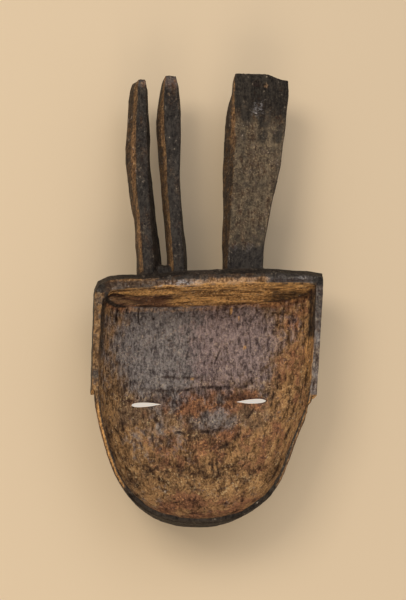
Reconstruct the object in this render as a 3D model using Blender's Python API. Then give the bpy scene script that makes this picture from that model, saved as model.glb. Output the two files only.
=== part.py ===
"""A carved wooden face mask with three tall horns, lying on its face with its hollow up.

Metres, +Z up, +X to the right and +Y towards the horns as one looks into the hollow.
The whole mask is one piece of wood, so it is one object: the bowl, its visor and the
horns joined, then hollowed, pierced and carved on the front as a carver would.
"""

import math

import bmesh
import bpy
from mathutils import Vector

# The hollow. Lengths run from the edge where its roof meets the rim, which is v = 0.
HOLLOW_HALF_WIDTH = 0.0898
HOLLOW_LENGTH = 0.1940
HOLLOW_DEPTH = 0.0550
RIM_HEIGHT = 0.0720
STRAIGHT_LENGTH = 0.0350
RIM_POWER = 2.50
JAW_POWER = 2.35
TROUGH_POWER = 2.60
ROOF_LEAN = 0.11
ROOF_ARCH = 0.0035
LEFT_CORNER_CUT = 0.0065

# The jaw is pared flatter than its curve, most at a share of the way down to the chin.
JAW_FLAT_RIGHT = 0.0042
JAW_FLAT_LEFT = 0.0016
JAW_FLAT_MIDDLE = 0.63
JAW_FLAT_REACH = 0.26

# The wall round the hollow
RIM_WALL = 0.0040
RIM_FLAT = 0.0018
RIM_DROP = 0.0035
FLANK_BULGE = -0.0015
CHIN_BULGE = 0.0024
BULGE_HEIGHT = 0.0500
FACE_ROUND = 0.0260
TOP_WALL = 0.0100
TOP_ARCH = 0.0055
TOP_CORNER = 0.0120

# The visor, the thick board across the brow that stands out past the bowl on both sides
VISOR_HALF_WIDTH = 0.0972
VISOR_FOOT_HALF_WIDTH = 0.0943
VISOR_LEFT_FOOT = -0.0866
VISOR_RIGHT_FOOT = -0.0975
VISOR_BOTTOM = 0.0390
VISOR_SHOULDER = 0.0600
VISOR_BELOW_RIM = 0.0012
VISOR_TOP_BEVEL = 0.0065
VISOR_UNDERCUT = 0.0010
VISOR_BACK_INSET = 0.0006
# Its top edge from left to right: a share of its half width, and a distance up.
VISOR_CREST = [
    (-1.000, 0.0016),
    (-0.976, 0.0085),
    (-0.935, 0.0104),
    (-0.887, 0.0124),
    (-0.822, 0.0133),
    (-0.757, 0.0136),
    (-0.692, 0.0135),
    (-0.619, 0.0130),
    (-0.514, 0.0134),
    (-0.300, 0.0149),
    (0.000, 0.0155),
    (0.300, 0.0152),
    (0.514, 0.0144),
    (0.720, 0.0126),
    (0.823, 0.0116),
    (0.895, 0.0107),
    (1.000, 0.0089),
]

# The carver's eye: the face leans a little, and its brow rises to the right.
LEAN = 0.0490
RISE = 0.0600

# The eyes
EYE_LINE = -0.0940
EYE_INNER = 0.0328
EYE_OUTER = 0.0588
EYE_OPEN = 0.0042
EYE_SLANT = 0.135
EYE_SPREAD = 0.10
EYE_FLOOR = 0.0230
LID_MARGIN = 0.0056
LID_HALF_HEIGHT = 0.0085
LID_HEIGHT = 0.0032
EYE_TEAR = 0.42
EYE_FULLNESS = 0.62
ALMOND_POWER = 1.25

# The heart-shaped face field sunk in the front
HEART_HALF_WIDTH = 0.0660
HEART_SIDE_LINE = -0.0860
HEART_LOBE = 0.0360
HEART_LENGTH = 0.0780
HEART_POINT = 1.20
HEART_CLEFT_ANGLE = math.radians(152)
HEART_DEPTH = 0.0070
HEART_SLOPE = 0.0035

# Nose and mouth, left standing in the heart
NOSE_TOP = -0.0560
NOSE_BASE = -0.1270
NOSE_BRIDGE_HALF_WIDTH = 0.0016
NOSE_TIP_HALF_WIDTH = 0.0046
NOSE_FLARE = 0.0052
NOSE_BELOW_BROW = 0.0008
NOSE_TIP_BEVEL = 0.0035
MOUTH_LINE = -0.1440
MOUTH_HALF_LENGTH = 0.0130
MOUTH_HALF_HEIGHT = 0.0056
MOUTH_HEIGHT = 0.0040
MOUTH_GROOVE_HALF_LENGTH = 0.0082
MOUTH_GROOVE = 0.0016
MOUTH_GROOVE_DEPTH = 0.0012
BOSS_ROOT = 0.0025

# The horns. Each station is a distance up from the roof's edge, the left and right
# edges there, and where the back's flat strip starts and ends. Heights run from the floor.
HORN_BACK = 0.0600
HORN_FRONT = 0.0310
HORN_EDGE_DROP = 0.0040
HORN_EDGE_SHARE = 0.35
HORN_WIDEST = 0.45
HORN_FRONT_LEFT = 0.14
HORN_FRONT_RIGHT = 0.10
HORN_THINNING = 0.0035
HORN_ROOT = -0.0030
TIP_LENGTH = 0.0055
TIP_INSET = 0.0018
OUTER_HORN = [
    (HORN_ROOT, -0.0604, -0.0370, -0.0548, -0.0462),
    (0.0290, -0.0614, -0.0395, -0.0567, -0.0482),
    (0.0570, -0.0630, -0.0438, -0.0592, -0.0502),
    (0.0780, -0.0675, -0.0458, -0.0610, -0.0516),
    (0.1020, -0.0700, -0.0488, -0.0624, -0.0528),
    (0.1240, -0.0720, -0.0499, -0.0631, -0.0535),
    (0.1440, -0.0708, -0.0508, -0.0628, -0.0539),
    (0.1600, -0.0697, -0.0520, -0.0621, -0.0543),
    (0.1720, -0.0693, -0.0524, -0.0617, -0.0545),
    (0.1800, -0.0682, -0.0528, -0.0614, -0.0548),
]
INNER_HORN = [
    (HORN_ROOT, -0.0343, -0.0164, -0.0290, -0.0205),
    (0.0290, -0.0350, -0.0176, -0.0312, -0.0220),
    (0.0570, -0.0372, -0.0205, -0.0335, -0.0238),
    (0.0810, -0.0399, -0.0228, -0.0353, -0.0248),
    (0.1040, -0.0417, -0.0238, -0.0364, -0.0251),
    (0.1260, -0.0435, -0.0234, -0.0375, -0.0248),
    (0.1510, -0.0448, -0.0230, -0.0386, -0.0250),
    (0.1680, -0.0434, -0.0238, -0.0391, -0.0260),
    (0.1780, -0.0424, -0.0246, -0.0390, -0.0268),
    (0.1850, -0.0410, -0.0252, -0.0386, -0.0274),
]
BROAD_HORN = [
    (HORN_ROOT, 0.0130, 0.0478, 0.0150, 0.0462),
    (0.0300, 0.0130, 0.0480, 0.0160, 0.0464),
    (0.0640, 0.0134, 0.0540, 0.0188, 0.0524),
    (0.0910, 0.0131, 0.0595, 0.0210, 0.0579),
    (0.1150, 0.0140, 0.0650, 0.0225, 0.0634),
    (0.1400, 0.0150, 0.0682, 0.0238, 0.0666),
    (0.1620, 0.0166, 0.0708, 0.0234, 0.0692),
    (0.1740, 0.0203, 0.0728, 0.0229, 0.0712),
    (0.1820, 0.0221, 0.0732, 0.0230, 0.0716),
    (0.1900, 0.0222, 0.0728, 0.0230, 0.0712),
]
BROAD_TIP_DROP = 0.0052
TIP_DROP_START = 0.62
TIP_DROP_END = 0.84
SADDLE_TOP = 0.0200
SADDLE_BACK = 0.0550
SADDLE_FRONT = 0.0360
SADDLE_LAP = 0.0040
SADDLE_ROUND = 0.0035
SADDLE_DIP = 0.0015

# How finely the curves are cut
STRAIGHT_STEPS = 4
CHIN_STEPS = 48
TOP_STEPS = 14
CREST_STEPS = 2
CORNER_STEPS = 4
TROUGH_ROWS = 15
TROUGH_START = math.radians(6)
ROUND_ROWS = 7
HORN_ROWS = 17
ALMOND_STEPS = 12

CLEAR = 0.0150
SMOOTH_ANGLE = math.radians(35)


def carved(u, v, height):
    """A point of the face in the carver's grid, whose rise dies out towards the chin."""
    below = max(0.0, -v) / HOLLOW_LENGTH
    return Vector((u + LEAN * v, v + RISE * u * (1 - below**2), height))


def loft(name, rings):
    """A closed mesh object skinned over rings of equal count, with both ends capped."""
    shape = bmesh.new()
    rows = [[shape.verts.new(point) for point in ring] for ring in rings]
    count = len(rows[0])
    for lower, upper in zip(rows, rows[1:]):
        for i in range(count):
            j = (i + 1) % count
            shape.faces.new((lower[i], lower[j], upper[j], upper[i]))
    caps = [shape.faces.new(reversed(rows[0])), shape.faces.new(rows[-1])]
    bmesh.ops.triangulate(shape, faces=caps)
    bmesh.ops.remove_doubles(shape, verts=shape.verts, dist=1e-6)
    bmesh.ops.dissolve_degenerate(shape, edges=shape.edges, dist=1e-6)
    bmesh.ops.recalc_face_normals(shape, faces=shape.faces)
    mesh = bpy.data.meshes.new(name)
    shape.to_mesh(mesh)
    shape.free()
    obj = bpy.data.objects.new(name, mesh)
    bpy.context.scene.collection.objects.link(obj)
    return obj


def power_cos(angle, power):
    """Cosine raised to a superellipse's power, with its sign kept."""
    value = math.cos(angle)
    return math.copysign(abs(value) ** (2 / power), value)


def pared(share):
    """How much of the jaw's flattening there is at a share of the way down to the chin."""
    off = (share - JAW_FLAT_MIDDLE) / JAW_FLAT_REACH
    return math.cos(off * math.pi / 2) ** 2 if abs(off) < 1 else 0.0


def u_curve(half_width, reach, line, power=RIM_POWER):
    """The U of the bowl's outline below a line: straight right side, chin, straight left side."""
    right = []
    size = half_width / HOLLOW_HALF_WIDTH
    for i in range(STRAIGHT_STEPS):
        right.append((half_width, line - (line + STRAIGHT_LENGTH) * i / STRAIGHT_STEPS))
    chin = []
    for i in range(CHIN_STEPS + 1):
        angle = math.pi * i / CHIN_STEPS
        share = max(0.0, math.sin(angle)) ** (2 / power)
        across = half_width * power_cos(angle, power)
        flat = JAW_FLAT_RIGHT if across > 0 else -JAW_FLAT_LEFT
        chin.append((across - flat * size * pared(share), -STRAIGHT_LENGTH - reach * share))
    left = [(-across, along) for across, along in reversed(right)]
    return right + chin + left


def arch_curve(half_width, line, rise):
    """Points of a shallow arch from its left end to its right end, without the ends."""
    points = []
    for i in range(1, TOP_STEPS):
        share = 2 * i / TOP_STEPS - 1
        points.append((share * half_width, line + rise * (1 - share**2)))
    return points


def shield(flank_offset, chin_offset, top, power):
    """The bowl's outer outline, as far as the offsets outside the hollow's edge."""
    half_width = HOLLOW_HALF_WIDTH + flank_offset
    reach = HOLLOW_LENGTH - STRAIGHT_LENGTH + chin_offset
    side_top = top - TOP_ARCH
    foot = side_top - TOP_CORNER
    corner_centre = half_width - TOP_CORNER
    left_corner, right_corner = [], []
    for i in range(1, CORNER_STEPS + 1):
        angle = math.pi / 2 * i / CORNER_STEPS
        across = corner_centre + TOP_CORNER * math.cos(angle)
        along = foot + TOP_CORNER * math.sin(angle)
        left_corner.append((-across, along))
        right_corner.insert(0, (across, along))
    arch = arch_curve(corner_centre, side_top, TOP_ARCH)
    return u_curve(half_width, reach, foot, power) + left_corner + arch + right_corner


def bowl():
    """The solid bowl, from its flat front on the floor up to the rim."""
    rings = []
    for i in range(ROUND_ROWS + 1):
        angle = math.pi / 2 * i / ROUND_ROWS
        inset = FACE_ROUND * (1 - math.sin(angle))
        height = BULGE_HEIGHT * (1 - math.cos(angle))
        flank = RIM_WALL + FLANK_BULGE - inset
        chin = RIM_WALL + CHIN_BULGE - inset
        rings.append((flank, chin, TOP_WALL - inset, JAW_POWER, height))
    shoulder = RIM_HEIGHT - RIM_DROP
    rings.append((RIM_WALL, RIM_WALL, TOP_WALL, RIM_POWER, shoulder))
    bevel = RIM_WALL - RIM_FLAT
    rings.append((RIM_FLAT, RIM_FLAT, TOP_WALL - bevel, RIM_POWER, RIM_HEIGHT))
    return loft(
        "bowl",
        [
            [carved(u, v, height) for u, v in shield(flank, chin, top, power)]
            for flank, chin, top, power, height in rings
        ],
    )


def between(stations, along):
    """A table's values at one place, on smooth curves through its stations."""
    last = len(stations) - 1
    k = max(i for i in range(last) if stations[i][0] <= along or i == 0)
    before, start, end, after = (
        stations[min(max(i, 0), last)] for i in (k - 1, k, k + 1, k + 2)
    )
    t = (along - start[0]) / (end[0] - start[0])
    values = []
    for a, b, c, d in list(zip(before, start, end, after))[1:]:
        slope_in, slope_out = (c - a) / 2, (d - b) / 2
        values.append(
            b
            + slope_in * t
            + (3 * (c - b) - 2 * slope_in - slope_out) * t**2
            + (2 * (b - c) + slope_in + slope_out) * t**3
        )
    return values


def visor_outline(inset, top_inset):
    """The visor's outline from its left foot up over its crest to its right foot."""
    half_width = VISOR_HALF_WIDTH - inset
    foot_edge = VISOR_FOOT_HALF_WIDTH - inset
    points = [(-foot_edge, VISOR_LEFT_FOOT + inset)]
    points.append((-half_width, VISOR_CREST[0][1] - top_inset))
    for start, end in zip(VISOR_CREST, VISOR_CREST[1:]):
        for i in range(1, CREST_STEPS + 1):
            share = start[0] + (end[0] - start[0]) * i / CREST_STEPS
            points.append((share * half_width, between(VISOR_CREST, share)[0] - top_inset))
    points.append((foot_edge, VISOR_RIGHT_FOOT + inset))
    return points


def visor():
    """The thick board across the brow, bevelled along its top behind the horns."""
    back = RIM_HEIGHT - VISOR_BELOW_RIM
    levels = [
        (VISOR_BOTTOM, VISOR_UNDERCUT, 2 * VISOR_UNDERCUT),
        (VISOR_BOTTOM + 3 * VISOR_UNDERCUT, 0.0, 0.0),
        (VISOR_SHOULDER, 0.0, 0.0),
        (back, VISOR_BACK_INSET, VISOR_TOP_BEVEL),
    ]
    return loft(
        "visor",
        [
            [carved(u, v, height) for u, v in visor_outline(inset, top_inset)]
            for height, inset, top_inset in levels
        ],
    )


def horn_section(left, right, flat_left, flat_right, back, front, inset):
    """The corners of a horn's section: flat back, sloping flanks, flat front."""
    middle = front + HORN_WIDEST * (back - front)
    width = right - left
    left, right = left + inset, right - inset
    flat_left, flat_right = flat_left + inset / 2, flat_right - inset / 2
    back_low = back - HORN_EDGE_DROP
    return [
        (flat_left, back),
        (flat_left + TIP_DROP_START * (flat_right - flat_left), back),
        (flat_right, back),
        (flat_right + HORN_EDGE_SHARE * (right - flat_right), back_low),
        (right, middle),
        (right - HORN_FRONT_RIGHT * width, front),
        (left + HORN_FRONT_LEFT * width, front),
        (left, middle),
        (flat_left + HORN_EDGE_SHARE * (left - flat_left), back_low),
    ]


def horn(name, stations, tip_drop=0.0):
    """One horn, from its root in the visor's top to its bevelled tip."""
    root, tip = stations[0][0], stations[-1][0]
    rings = []
    for i in range(HORN_ROWS + 1):
        along = root + (tip - root) * i / HORN_ROWS
        edges = between(stations, along)
        thin = HORN_THINNING * (along - root) / (tip - root)
        section = horn_section(*edges, HORN_BACK - thin, HORN_FRONT + thin, 0.0)
        rings.append([Vector((x, along, z)) for x, z in section])
    edges = between(stations, tip)
    section = horn_section(
        *edges, HORN_BACK - TIP_INSET - thin, HORN_FRONT + TIP_INSET + thin, TIP_INSET
    )
    end = []
    for x, z in section:
        share = (x - edges[0]) / (edges[1] - edges[0])
        worn = (share - TIP_DROP_START) / (TIP_DROP_END - TIP_DROP_START)
        end.append(Vector((x, tip + TIP_LENGTH - tip_drop * min(max(worn, 0.0), 1.0), z)))
    rings.append(end)
    return loft(name, rings)


def saddle():
    """The web of wood left between the roots of the two narrow horns."""
    left, right = OUTER_HORN[1][2] - SADDLE_LAP, INNER_HORN[1][1] + SADDLE_LAP
    middle = (left + right) / 2
    levels = (
        (SADDLE_FRONT, SADDLE_TOP - SADDLE_ROUND),
        (SADDLE_FRONT + SADDLE_ROUND, SADDLE_TOP),
        (SADDLE_BACK - SADDLE_ROUND, SADDLE_TOP),
        (SADDLE_BACK, SADDLE_TOP - SADDLE_ROUND),
    )
    rings = []
    for height, top in levels:
        section = [
            (left, HORN_ROOT),
            (right, HORN_ROOT),
            (right, top + SADDLE_DIP),
            (middle, top),
            (left, top + SADDLE_DIP),
        ]
        rings.append([Vector((x, y, height)) for x, y in section])
    return loft("saddle", rings)


def hollow():
    """The trough scooped out of the bowl, ending square at its leaning roof."""

    def row(share, height):
        roof = -ROOF_ARCH - ROOF_LEAN * (RIM_HEIGHT - height)
        half_width = HOLLOW_HALF_WIDTH * share
        cut = LEFT_CORNER_CUT * share
        wall = u_curve(half_width, (HOLLOW_LENGTH - STRAIGHT_LENGTH) * share, roof)
        wall[-1] = (-half_width, roof - cut)
        arch = arch_curve(half_width, roof, ROOF_ARCH * share)
        corner = [(cut - half_width, roof + 2 * ROOF_ARCH * share * cut / half_width)]
        arch = [point for point in arch if point[0] > cut - half_width + cut / 2]
        return [carved(u, v, height) for u, v in wall + corner + arch]

    rings = []
    for i in range(TROUGH_ROWS + 1):
        angle = TROUGH_START + (math.pi / 2 - TROUGH_START) * i / TROUGH_ROWS
        share = math.sin(angle) ** (2 / TROUGH_POWER)
        height = RIM_HEIGHT - HOLLOW_DEPTH * max(0.0, math.cos(angle)) ** (2 / TROUGH_POWER)
        rings.append(row(share, height))
    rings.append(row(1.0, RIM_HEIGHT + CLEAR))
    return loft("hollow", rings)


def heart_outline(inset):
    """The face field's outline: two brow lobes that meet at the nose, and a pointed chin."""
    half_width = HEART_HALF_WIDTH - inset
    lobe_centre = half_width / 2
    right = []
    for i in range(ALMOND_STEPS + 1):
        angle = HEART_CLEFT_ANGLE * (1 - i / ALMOND_STEPS)
        across = lobe_centre * (1 + math.cos(angle))
        right.append((across, HEART_SIDE_LINE + (HEART_LOBE - inset) * math.sin(angle)))
    for i in range(1, ALMOND_STEPS):
        angle = math.pi / 2 * i / ALMOND_STEPS
        across = half_width * math.cos(angle) ** HEART_POINT
        right.append((across, HEART_SIDE_LINE - (HEART_LENGTH - inset) * math.sin(angle)))
    chin = [(0.0, HEART_SIDE_LINE - HEART_LENGTH + inset)]
    left = [(-across, along) for across, along in reversed(right)]
    return right + chin + left


def heart():
    """The cutter for the heart-shaped field: sloping sides and a gently dished floor."""
    rings = []
    for depth_share, slopes in ((0.0, 0.0), (0.75, 1.0), (0.92, 2.0), (1.0, 5.0)):
        outline = heart_outline(slopes * HEART_SLOPE)
        rings.append([carved(u, v, depth_share * HEART_DEPTH) for u, v in outline])
    below = [carved(u, v, -CLEAR) for u, v in heart_outline(-HEART_SLOPE / 2)]
    return loft("heart", [below] + rings)


def almond(centre, line, half_length, half_height, height):
    """A pointed oval ring at one height."""
    ring = []
    for i in range(2 * ALMOND_STEPS):
        angle = math.pi * i / ALMOND_STEPS
        across = centre + half_length * math.cos(angle)
        bow = abs(math.sin(angle)) ** ALMOND_POWER
        along = line + half_height * math.copysign(bow, math.sin(angle))
        ring.append(carved(across, along, height))
    return ring


def mound(name, centre, line, half_length, half_height, rise):
    """A low oval boss standing on the heart's floor, as an eyelid or the lips."""
    root = HEART_DEPTH + BOSS_ROOT
    shoulder = HEART_DEPTH - 0.45 * rise
    levels = ((root, 1.0), (shoulder, 0.90), (HEART_DEPTH - rise, 0.55))
    return loft(
        name,
        [
            almond(centre, line, half_length * share, half_height * share, height)
            for height, share in levels
        ],
    )


def slit_shift(height):
    """How far the slanting slits have moved towards the brow, down at a height."""
    return EYE_SLANT * (EYE_FLOOR - height)


def slit_spread(height):
    """How far each end of a slit has moved outwards, down at a height."""
    return EYE_SPREAD * (EYE_FLOOR - height)


def eyelid(side):
    """One eyelid, an almond boss round its slit."""
    centre = side * (EYE_INNER + EYE_OUTER) / 2
    half_length = (EYE_OUTER - EYE_INNER) / 2 + LID_MARGIN
    line = EYE_LINE + slit_shift(HEART_DEPTH - LID_HEIGHT)
    name = "lid_right" if side > 0 else "lid_left"
    return mound(name, centre, line, half_length, LID_HALF_HEIGHT, LID_HEIGHT)


def eye_slit(side):
    """The cutter for one eye: a teardrop, blunt at the temple and pointed at the nose."""
    rings = []
    for height in (-CLEAR, RIM_HEIGHT):
        ring = []
        inner = EYE_INNER - slit_spread(height)
        length = EYE_OUTER + slit_spread(height) - inner
        for i in range(2 * ALMOND_STEPS):
            angle = math.pi * i / ALMOND_STEPS
            share = (1 + math.cos(angle)) / 2
            across = side * (inner + length * share)
            opening = EYE_OPEN * EYE_FULLNESS * math.sin(angle) * share**EYE_TEAR
            ring.append(carved(across, EYE_LINE + opening + slit_shift(height), height))
        rings.append(ring)
    return loft("slit_right" if side > 0 else "slit_left", rings)


def nose():
    """The long straight nose, a wedge that widens from the brow to its base."""
    root = HEART_DEPTH + BOSS_ROOT
    rings = []
    for share, narrow, bevel in ((0.0, 1.0, 0.0), (0.35, 1.0, 0.0), (0.92, 1.0, 0.0), (1.0, 0.8, 1.0)):
        along = NOSE_TOP + (NOSE_BASE - NOSE_TOP) * share
        flare = NOSE_FLARE * (1.0 + 0.4 * share)
        half = NOSE_BRIDGE_HALF_WIDTH + (NOSE_TIP_HALF_WIDTH - NOSE_BRIDGE_HALF_WIDTH) * share
        half *= narrow
        crest = NOSE_BELOW_BROW + NOSE_TIP_BEVEL * bevel
        section = [(-half - flare, root), (-half, crest), (half, crest), (half + flare, root)]
        rings.append([carved(across, along, height) for across, height in section])
    return loft("nose", rings)


def mouth_groove():
    """The cutter for the line between the lips."""
    bottom = HEART_DEPTH - MOUTH_HEIGHT + MOUTH_GROOVE_DEPTH
    levels = ((-CLEAR, 1.0), (bottom, 0.55))
    return loft(
        "mouth_groove",
        [
            almond(0.0, MOUTH_LINE, MOUTH_GROOVE_HALF_LENGTH, MOUTH_GROOVE * share, height)
            for height, share in levels
        ],
    )


def combine(target, other, operation):
    """Adds a Boolean of another shape to the target and hides that shape as a helper."""
    modifier = target.modifiers.new(other.name, "BOOLEAN")
    modifier.operation = operation
    modifier.object = other
    other.hide_render = True
    other.display_type = "WIRE"
    other.parent = target.parent


def dark_wood():
    """Old smoke-dark wood, worn to a dull sheen."""
    material = bpy.data.materials.new("dark_wood")
    material.use_nodes = True
    shader = material.node_tree.nodes["Principled BSDF"]
    shader.inputs["Base Color"].default_value = (0.085, 0.052, 0.030, 1.0)
    shader.inputs["Roughness"].default_value = 0.62
    shader.inputs["Metallic"].default_value = 0.0
    return material


def mask(anchor):
    """The whole mask as one carved piece."""
    body = bowl()
    body.name = body.data.name = "mask"
    body.parent = anchor
    combine(body, visor(), "UNION")
    combine(body, horn("outer_horn", OUTER_HORN), "UNION")
    combine(body, horn("inner_horn", INNER_HORN), "UNION")
    combine(body, horn("broad_horn", BROAD_HORN, BROAD_TIP_DROP), "UNION")
    combine(body, saddle(), "UNION")
    combine(body, hollow(), "DIFFERENCE")
    combine(body, heart(), "DIFFERENCE")
    combine(body, nose(), "UNION")
    for side in (-1, 1):
        combine(body, eyelid(side), "UNION")
    lips = mound("lips", 0.0, MOUTH_LINE, MOUTH_HALF_LENGTH, MOUTH_HALF_HEIGHT, MOUTH_HEIGHT)
    combine(body, lips, "UNION")
    combine(body, mouth_groove(), "DIFFERENCE")
    for side in (-1, 1):
        combine(body, eye_slit(side), "DIFFERENCE")
    body.data.materials.append(dark_wood())
    body.data.shade_smooth()
    body.data.set_sharp_from_angle(angle=SMOOTH_ANGLE)
    return body


def centre_on_floor(anchor, body):
    """Moves everything so that the middle of the mask's footprint is the origin."""
    bpy.context.view_layer.update()
    graph = bpy.context.evaluated_depsgraph_get()
    mesh = body.evaluated_get(graph).to_mesh()
    across = [vertex.co.x for vertex in mesh.vertices]
    along = [vertex.co.y for vertex in mesh.vertices]
    up = [vertex.co.z for vertex in mesh.vertices]
    middle_x = (min(across) + max(across)) / 2
    middle_y = (min(along) + max(along)) / 2
    anchor.location = (-middle_x, -middle_y, -min(up))


def main():
    """Clears the scene and builds the mask."""
    for old in list(bpy.data.objects):
        bpy.data.objects.remove(old)
    anchor = bpy.data.objects.new("floor_centre", None)
    bpy.context.scene.collection.objects.link(anchor)
    body = mask(anchor)
    centre_on_floor(anchor, body)


main()
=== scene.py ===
"""The looks of a carved three-horned mask: worn skin, old finish, studio and camera.

Sizes of the carving are in millimetres in the carver's grid (u across, v up from the roof's
edge, z above the floor). The mesh itself is in metres in the shared frame.
"""

from __future__ import annotations

import logging
import math
from dataclasses import dataclass, field
from enum import Enum
from typing import Any, Sequence

import bmesh
import bpy
import numpy as np
from mathutils import Matrix, Vector

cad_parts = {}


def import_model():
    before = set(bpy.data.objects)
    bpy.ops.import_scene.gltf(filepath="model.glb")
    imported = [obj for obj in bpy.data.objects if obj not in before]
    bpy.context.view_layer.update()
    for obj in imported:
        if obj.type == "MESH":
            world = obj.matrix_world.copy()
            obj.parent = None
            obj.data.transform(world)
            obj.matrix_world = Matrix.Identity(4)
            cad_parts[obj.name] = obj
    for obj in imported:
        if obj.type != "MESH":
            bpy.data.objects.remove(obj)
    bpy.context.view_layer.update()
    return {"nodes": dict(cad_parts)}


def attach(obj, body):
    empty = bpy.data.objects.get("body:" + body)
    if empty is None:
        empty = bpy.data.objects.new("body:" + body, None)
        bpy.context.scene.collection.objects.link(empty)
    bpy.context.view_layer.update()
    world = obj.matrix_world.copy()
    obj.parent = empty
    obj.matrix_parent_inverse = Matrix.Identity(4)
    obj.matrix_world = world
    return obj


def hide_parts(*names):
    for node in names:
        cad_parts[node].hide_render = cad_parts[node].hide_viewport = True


Array = np.ndarray
Pair = tuple[float, float]
Point = tuple[float, float, float]
Colour = tuple[float, float, float, float]

NODE = "mask"
PER_METRE = 1000.0  # millimetres
BLACK: Colour = (0.0, 0.0, 0.0, 1.0)
log = logging.getLogger("mask")


def ease(low: float, high: float, value: Array) -> Array:
    """A soft step.

    Args:
        low: where the step starts; it may be above high, for a falling step.
        high: where it ends.
        value: the values to step on.

    Returns:
        0 before low, 1 after high, and a smooth rise between them.
    """
    t = np.clip((value - low) / (high - low), 0.0, 1.0)
    return t * t * (3 - 2 * t)


def band(start: float, end: float, soft: float, value: Array) -> Array:
    """1 between start and end, falling to 0 within a soft margin outside them."""
    return ease(start - soft, start, value) * ease(end + soft, end, value)


def add(name: str, data: bpy.types.ID | None) -> bpy.types.Object:
    """Puts a new object into the scene."""
    item = bpy.data.objects.new(name, data)
    bpy.context.scene.collection.objects.link(item)
    return item


def rework(piece: bpy.types.Object, kind: str, **settings: Any) -> None:
    """Gives an object one modifier and applies it.

    Args:
        piece: the object.
        kind: the modifier's type.
        settings: its settings.
    """
    modifier = piece.modifiers.new(kind.lower(), kind)
    for name, value in settings.items():
        setattr(modifier, name, value)
    graph = bpy.context.evaluated_depsgraph_get()
    mesh = bpy.data.meshes.new_from_object(piece.evaluated_get(graph))
    old = piece.data
    piece.modifiers.clear()
    piece.data = mesh
    bpy.data.meshes.remove(old)


def rows_of(items: Any, name: str, width: int, kind: type = np.float64) -> Array:
    """Reads one property of all items of a mesh, a row for each."""
    values = np.empty(len(items) * width, kind)
    items.foreach_get(name, values)
    return values.reshape(-1, width)


def square_up(mesh: bpy.types.Mesh) -> None:
    """Turns a closed mesh's faces outwards and splits them into triangles."""
    work = bmesh.new()
    work.from_mesh(mesh)
    bmesh.ops.triangulate(work, faces=work.faces)
    bmesh.ops.recalc_face_normals(work, faces=work.faces)
    work.to_mesh(mesh)
    work.free()


@dataclass(frozen=True)
class Chance:
    """Seeded unevenness that comes out the same on every run."""

    seed: int
    finer: float = 2.03
    shift: float = 31.7
    fainter: float = 1.7
    loudest: float = 1.4
    stray: float = 0.42
    lift: float = 0.30

    def knot(self, i: Array, j: Array, k: Array) -> Array:
        """A fixed value between -1 and 1 for each corner of a lattice."""
        mixed = (i * 374761393 + j * 668265263 + k * 1274126177 + self.seed * 97531) & 0xFFFFFFFF
        mixed = ((mixed ^ (mixed >> 13)) * 1103515245) & 0xFFFFFFFF
        mixed = ((mixed ^ (mixed >> 16)) * 668265263) & 0xFFFFFFFF
        return (mixed ^ (mixed >> 15)) / 0x7FFFFFFF - 1

    def swell(self, points: Array, size: float | Point) -> Array:
        """Smooth noise.

        Args:
            points: rows of three coordinates.
            size: the distance between its knots, one number or one for each axis.

        Returns:
            A value between -1 and 1 for each point.
        """
        scaled = points / np.asarray(size, float)
        base = np.floor(scaled).astype(np.int64)
        t = scaled - base
        t = t * t * t * (t * (t * 6 - 15) + 10)
        total = np.zeros(len(points))
        for corner in range(8):
            step = np.array([corner & 1, corner >> 1 & 1, corner >> 2 & 1])
            weight = np.prod(np.where(step == 1, t, 1 - t), axis=1)
            total += weight * self.knot(*(base + step).T)
        return total

    def layers(self, points: Array, size: float | Point, count: int = 3) -> Array:
        """Noise in finer and fainter layers, about -1 to 1."""
        total = np.zeros(len(points))
        for layer in range(count):
            places = points * self.finer**layer + self.shift * layer
            total += Chance(self.seed + 17 * layer).swell(places, size) / self.fainter**layer
        return total / self.loudest

    def scoops(self, across: Array, along: Array, size: Pair) -> Array:
        """The bed of shallow cuts that a curved blade leaves.

        Args:
            across: first coordinate of each point.
            along: second coordinate of each point.
            size: how wide and how long one cut is.

        Returns:
            -0.6 in the deepest part of a cut, above 0 on the crests between cuts.
        """
        x, y = across / size[0], along / size[1]
        cell_x, cell_y = np.floor(x).astype(np.int64), np.floor(y).astype(np.int64)
        nearest = np.full(len(x), 9.0)
        for step_x in (-1, 0, 1):
            for step_y in (-1, 0, 1):
                i, j = cell_x + step_x, cell_y + step_y
                centre_x = i + 0.5 + self.stray * self.knot(i, j, i * 0 + 1)
                centre_y = j + 0.5 + self.stray * self.knot(i, j, i * 0 + 2)
                lift = self.lift * self.knot(i, j, i * 0 + 3)
                reach = (x - centre_x) ** 2 + (y - centre_y) ** 2 + lift
                nearest = np.minimum(nearest, reach)
        return np.clip(nearest + self.lift, 0.0, 1.3) - 0.6


@dataclass(frozen=True)
class CarversGrid:
    """The grid in which the carver laid the face out, as in the CAD."""

    lean: float = 0.0490
    rise: float = 0.0600
    length: float = 194.0
    centre: Pair = (0.454, 2.45)

    def of(self, points: Array) -> tuple[Array, Array]:
        """Turns points in the frame into the grid.

        Args:
            points: rows of x, y, z in millimetres.

        Returns:
            u and v of each point.
        """
        x, y = points[:, 0] - self.centre[0], points[:, 1] - self.centre[1]
        u, v = x.copy(), y.copy()
        for _ in range(6):
            u = x - self.lean * v
            below = np.maximum(0.0, -v) / self.length
            v = y - self.rise * u * (1 - below**2)
        return u, v

    def at(self, u: float, v: float) -> Pair:
        """The place in the frame of one point of the grid, in millimetres."""
        below = max(0.0, -v) / self.length
        x = u + self.lean * v + self.centre[0]
        return x, v + self.rise * u * (1 - below**2) + self.centre[1]


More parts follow.
